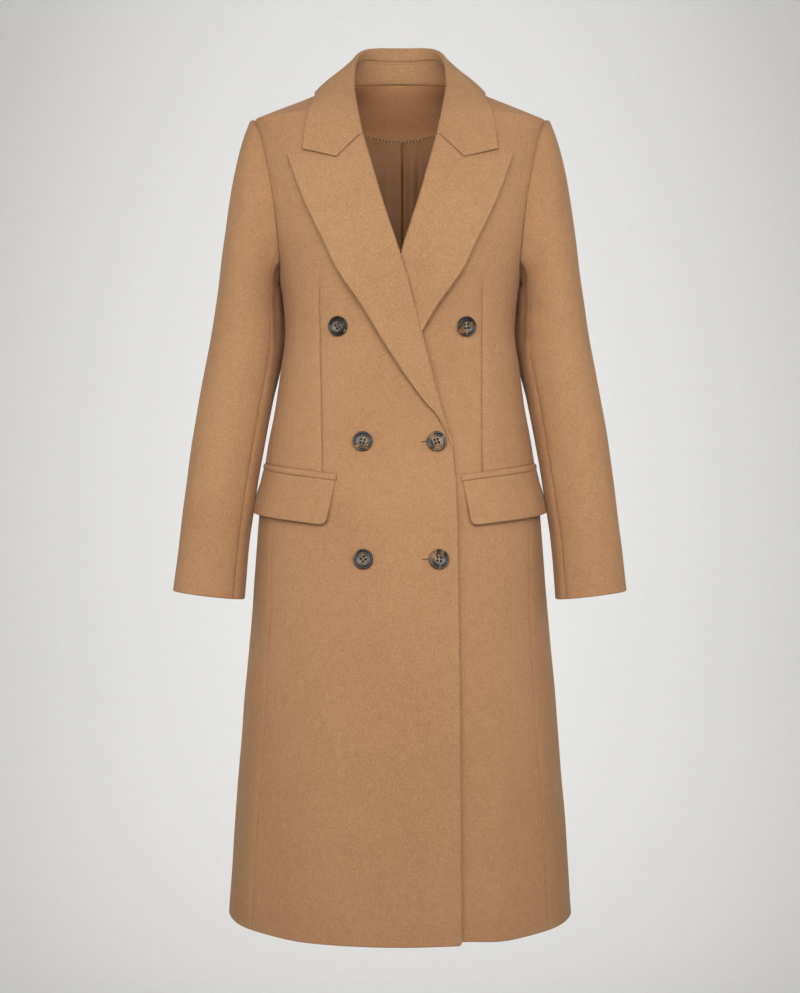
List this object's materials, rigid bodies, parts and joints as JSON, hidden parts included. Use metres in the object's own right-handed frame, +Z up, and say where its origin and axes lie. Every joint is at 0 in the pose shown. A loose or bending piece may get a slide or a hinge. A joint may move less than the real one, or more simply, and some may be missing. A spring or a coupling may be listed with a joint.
{
  "type": "double-breasted wool overcoat",
  "caption": "Long double-breasted wool overcoat with wide peak lapels, slanted flap pockets and two-piece sleeves, hollow and in its worn shape.",
  "frame": {"origin": "level with the neck ends of the shoulder seams, midway between them, where the shoulders of a wearer hold the coat", "axes": "+Z up, -Y out of the front, +X towards the wearer's left"},
  "size_m": [0.581, 0.3372, 1.1412],
  "materials": {
    "wool": "brushed woollen coating",
    "satin": "soft satin lining",
    "horn": "polished mottled horn"
  },
  "bodies": {
    "root": {"front_right": "wool", "front_left": "wool", "side_right": "wool", "side_left": "wool", "back_right": "wool", "back_left": "wool", "lapel_right": "wool", "lapel_left": "wool", "collar_fall": "wool", "collar_stand": "wool", "neck_facing": "wool", "sleeve_top_right": "wool", "sleeve_top_left": "wool", "sleeve_under_right": "wool", "sleeve_under_left": "wool", "pocket_flap_right": "wool", "pocket_flap_left": "wool", "pocket_welt_right": "wool", "pocket_welt_left": "wool", "lining_back": "satin", "button_upper_right": "horn", "button_upper_left": "horn", "button_middle_right": "horn", "button_middle_left": "horn", "button_lower_right": "horn", "button_lower_left": "horn"}
  },
  "joints": []
}
